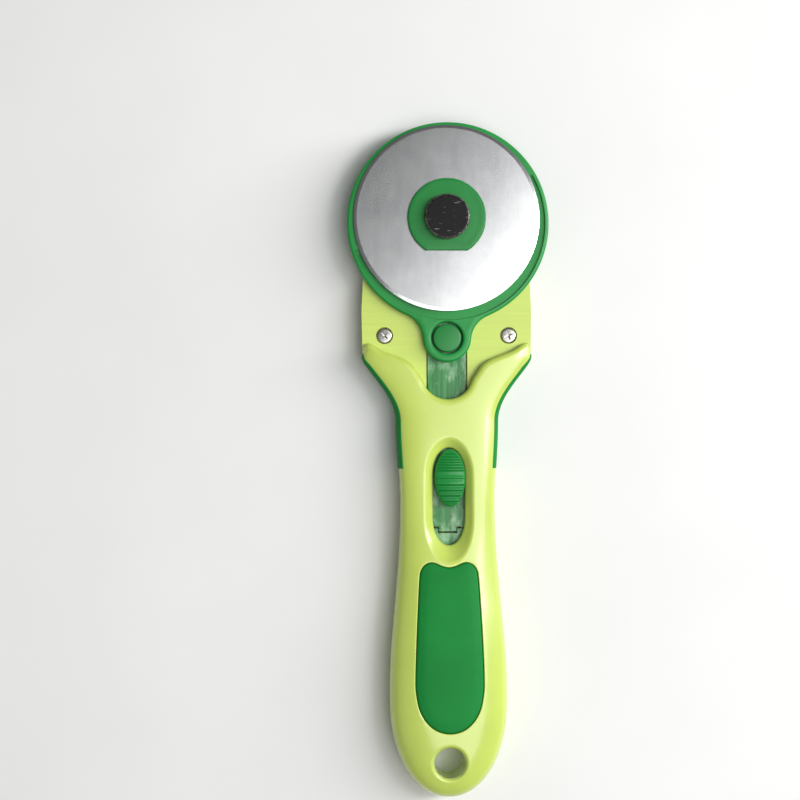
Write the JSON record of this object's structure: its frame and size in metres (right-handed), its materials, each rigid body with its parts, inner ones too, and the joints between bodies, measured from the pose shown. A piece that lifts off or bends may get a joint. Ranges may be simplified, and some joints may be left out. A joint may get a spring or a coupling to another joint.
{
  "type": "rotary cutter",
  "caption": "Hand-held round-blade fabric cutter with a thumb-slide blade guard, two-shell cushioned handle and a hanging hole in its butt.",
  "frame": {"origin": "on the blade's axis, at the back face of the nut, which is where the tool rests when it lies on its back", "axes": "+Z out of the blade side along the blade's axis, +Y along the handle from its butt towards the blade, +X to the right seen from the blade side"},
  "size_m": [0.0652, 0.2169, 0.017],
  "materials": {
    "lime_plastic": "satin moulded ABS, light lime",
    "green_plastic": "moulded nylon, mid green, slightly glossy",
    "green_rubber": "soft dark green elastomer, fine matt grain",
    "blade_steel": "turned and ground tool steel with a polished bevel",
    "black_steel": "black oxide, worn bright at the rim",
    "zinc_steel": "bright zinc-plated screws and washers",
    "brass": "turned brass inserts"
  },
  "bodies": {
    "handle": {"front_shell": "lime_plastic", "back_shell": "lime_plastic", "front_grip_inlay": "green_rubber", "back_grip_inlay": "green_rubber", "left_finger_cushion": "green_rubber", "right_finger_cushion": "green_rubber", "head_plate": "lime_plastic", "head_screws": "zinc_steel", "head_inserts": "brass", "shell_screws": "zinc_steel", "axle_bolt": "black_steel", "hub_washer": "green_plastic", "wave_washer": "zinc_steel", "slip_washer": "zinc_steel"},
    "blade": {"blade": "blade_steel"},
    "guard": {"blade_guard": "green_plastic", "guard_rivet": "green_plastic", "slide_strip": "green_plastic", "detent_clip": "green_plastic", "thumb_button": "green_plastic"},
    "nut": {"nut_knob": "green_plastic", "nut_insert": "brass"}
  },
  "joints": [
    {"name": "blade_spin", "type": "hinge", "parent": "handle", "child": "blade", "pos_m": [0, 0, 0.0126], "axis": [0, 0, 1], "continuous": true},
    {"name": "guard_slide", "type": "slide", "parent": "handle", "child": "guard", "axis": [0, -1, 0], "range_m": [0, 0.0115]},
    {"name": "nut_turn", "type": "hinge", "parent": "handle", "child": "nut", "pos_m": [0, 0, 0.003], "axis": [0, 0, 1], "continuous": true}
  ]
}
